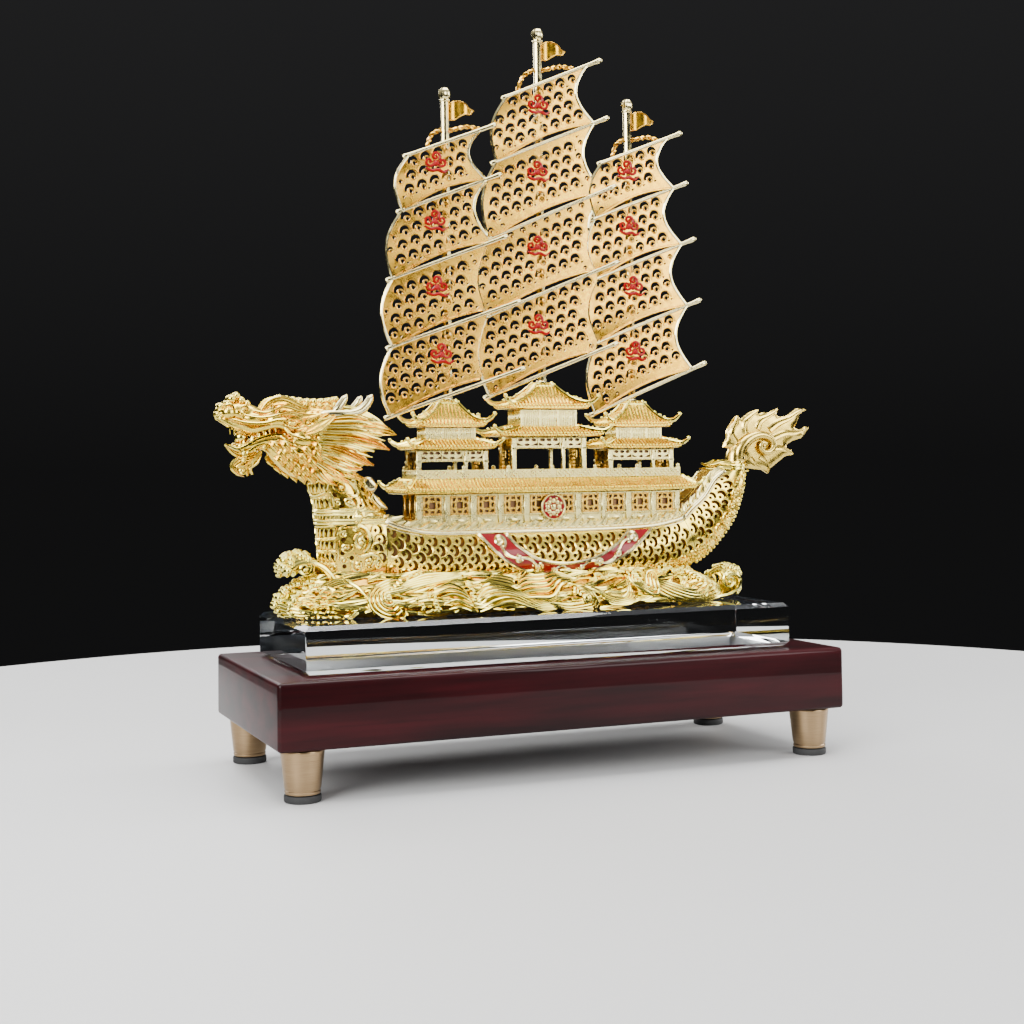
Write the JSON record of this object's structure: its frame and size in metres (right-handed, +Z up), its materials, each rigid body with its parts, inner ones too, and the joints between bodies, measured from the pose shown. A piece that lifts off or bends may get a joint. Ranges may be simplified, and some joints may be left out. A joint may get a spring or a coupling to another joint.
{
  "type": "dragon boat desk ornament",
  "caption": "Gilded dragon boat ornament with masts, slatted sails and pavilions, on cast waves, a crystal block and a lacquered wooden plinth with feet.",
  "frame": {"origin": "on the table, under the middle of the ornament's bounding box", "axes": "+Z up; the dragon's head points along -X and its tail along +X; -Y is the port side, the picture's front"},
  "size_m": [0.26, 0.1, 0.295],
  "materials": {
    "gold": "polished gilding, deeper in the recesses",
    "pale_gold": "satin champagne gilding",
    "red_enamel": "glossy enamel",
    "crystal": "clear, polished, cut edges",
    "lacquered_wood": "dark mahogany under high gloss lacquer",
    "brushed_metal": "turned, finely brushed",
    "black_rubber": "matte"
  },
  "bodies": {
    "root": {"plinth": "lacquered_wood", "foot_bow_port": "brushed_metal", "foot_bow_starboard": "brushed_metal", "foot_stern_port": "brushed_metal", "foot_stern_starboard": "brushed_metal", "foot_pad_bow_port": "black_rubber", "foot_pad_bow_starboard": "black_rubber", "foot_pad_stern_port": "black_rubber", "foot_pad_stern_starboard": "black_rubber", "crystal_block": "crystal", "wave_base": "gold", "bow_wave_crest": "gold", "stern_wave_crest": "gold", "hull": "gold", "stern_post": "gold", "dragon_neck": "gold", "dragon_head": "gold", "lower_jaw": "gold", "beard": "gold", "horn_port": "gold", "horn_starboard": "gold", "tail_collar": "gold", "tail_fin": "gold", "deck": "pale_gold", "gunwale": "pale_gold", "crescent_port": "red_enamel", "crescent_starboard": "red_enamel", "medallion_port": "red_enamel", "medallion_starboard": "red_enamel", "cabin_wall_port": "pale_gold", "cabin_wall_starboard": "pale_gold", "cabin_wall_bow": "gold", "cabin_wall_stern": "gold", "cabin_roof": "gold", "balustrade": "pale_gold", "fore_pavilion_columns": "pale_gold", "fore_pavilion_skirt_roof": "gold", "fore_pavilion_upper_wall": "pale_gold", "fore_pavilion_top_roof": "gold", "middle_pavilion_columns": "pale_gold", "middle_pavilion_skirt_roof": "gold", "middle_pavilion_upper_wall": "pale_gold", "middle_pavilion_top_roof": "gold", "aft_pavilion_columns": "pale_gold", "aft_pavilion_skirt_roof": "gold", "aft_pavilion_upper_wall": "pale_gold", "aft_pavilion_top_roof": "gold", "fore_mast": "pale_gold", "fore_sail": "pale_gold", "fore_pennant": "pale_gold", "main_mast": "pale_gold", "main_sail": "pale_gold", "main_pennant": "pale_gold", "aft_mast": "pale_gold", "aft_sail": "pale_gold", "aft_pennant": "pale_gold"}
  },
  "joints": []
}
